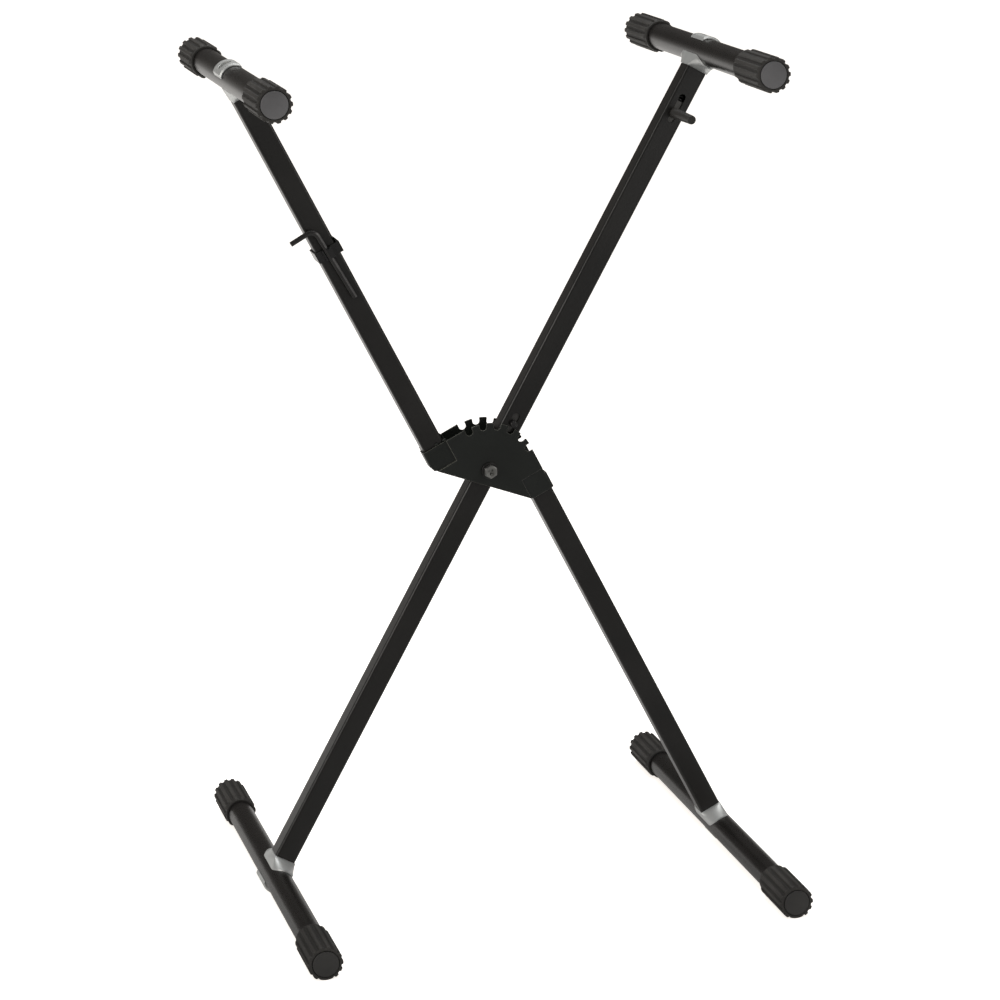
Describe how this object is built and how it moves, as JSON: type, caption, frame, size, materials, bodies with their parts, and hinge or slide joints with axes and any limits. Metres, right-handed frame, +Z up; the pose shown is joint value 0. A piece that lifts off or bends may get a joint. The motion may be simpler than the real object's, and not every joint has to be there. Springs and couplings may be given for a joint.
{
  "type": "keyboard stand",
  "caption": "Folding X keyboard stand: a through leg and a split leg on a pivot between notched sector plates, with capped cross tubes at top and bottom.",
  "frame": {"origin": "on the floor, under the pivot and midway between the feet", "axes": "+Z up, +Y from the side with the pull peg and bolt head towards the rear, +X to the right of someone who looks along +Y"},
  "size_m": [0.5512, 0.55, 0.9094],
  "materials": {
    "powder_coat": "satin black powder coat",
    "cast_metal": "dull cast",
    "zinc_steel": "zinc plated",
    "dark_steel": "black oxide",
    "rubber": "matt",
    "plastic": "matt",
    "grey_plastic": "matt"
  },
  "bodies": {
    "leg_a": {"leg_a_tube": "powder_coat", "pivot_bolt": "dark_steel", "pivot_nut": "dark_steel", "pivot_washer_front": "dark_steel", "pivot_washer_rear": "dark_steel", "pivot_spacer_front": "plastic", "pivot_spacer_rear": "plastic", "pivot_bush": "zinc_steel", "tube_top_right": "powder_coat", "saddle_top_right": "cast_metal", "clamp_top_right": "cast_metal", "screw_top_right": "zinc_steel", "nut_top_right": "zinc_steel", "cap_top_right_front": "rubber", "cap_top_right_rear": "rubber", "plug_top_right_front": "grey_plastic", "plug_top_right_rear": "grey_plastic", "tube_bottom_left": "powder_coat", "saddle_bottom_left": "cast_metal", "clamp_bottom_left": "cast_metal", "screw_bottom_left": "zinc_steel", "nut_bottom_left": "zinc_steel", "cap_bottom_left_front": "rubber", "cap_bottom_left_rear": "rubber", "plug_bottom_left_front": "plastic", "plug_bottom_left_rear": "plastic"},
    "leg_b": {"leg_b_upper_tube": "powder_coat", "leg_b_lower_tube": "powder_coat", "sector_plate_front": "powder_coat", "sector_plate_rear": "powder_coat", "key_clip": "plastic", "tube_top_left": "powder_coat", "saddle_top_left": "cast_metal", "clamp_top_left": "cast_metal", "screw_top_left": "zinc_steel", "nut_top_left": "zinc_steel", "cap_top_left_front": "rubber", "cap_top_left_rear": "rubber", "plug_top_left_front": "grey_plastic", "plug_top_left_rear": "grey_plastic", "tube_bottom_right": "powder_coat", "saddle_bottom_right": "cast_metal", "clamp_bottom_right": "cast_metal", "screw_bottom_right": "zinc_steel", "nut_bottom_right": "zinc_steel", "cap_bottom_right_front": "rubber", "cap_bottom_right_rear": "rubber", "plug_bottom_right_front": "plastic", "plug_bottom_right_rear": "plastic"},
    "lock": {"lock_pin": "dark_steel", "lock_slider": "zinc_steel", "lock_rod": "zinc_steel", "peg_block": "zinc_steel", "peg_stud": "zinc_steel", "peg_grip": "plastic"},
    "key": {"hex_key": "dark_steel"}
  },
  "joints": [
    {"name": "leg_fold", "type": "hinge", "parent": "leg_a", "child": "leg_b", "pos_m": [0, 0, 0.45425], "axis": [0, 1, 0], "range_deg": [-34.1, 55.6]},
    {"name": "lock_pull", "type": "slide", "parent": "leg_a", "child": "lock", "axis": [0.5022, 0, 0.8648], "range_m": [-0.0075, 0.008], "stiffness_N_per_m": 600, "springref_m": -0.012},
    {"name": "key_slide", "type": "slide", "parent": "leg_b", "child": "key", "axis": [-0.4817, 0, 0.8764], "range_m": [-0.01, 0.075]}
  ]
}
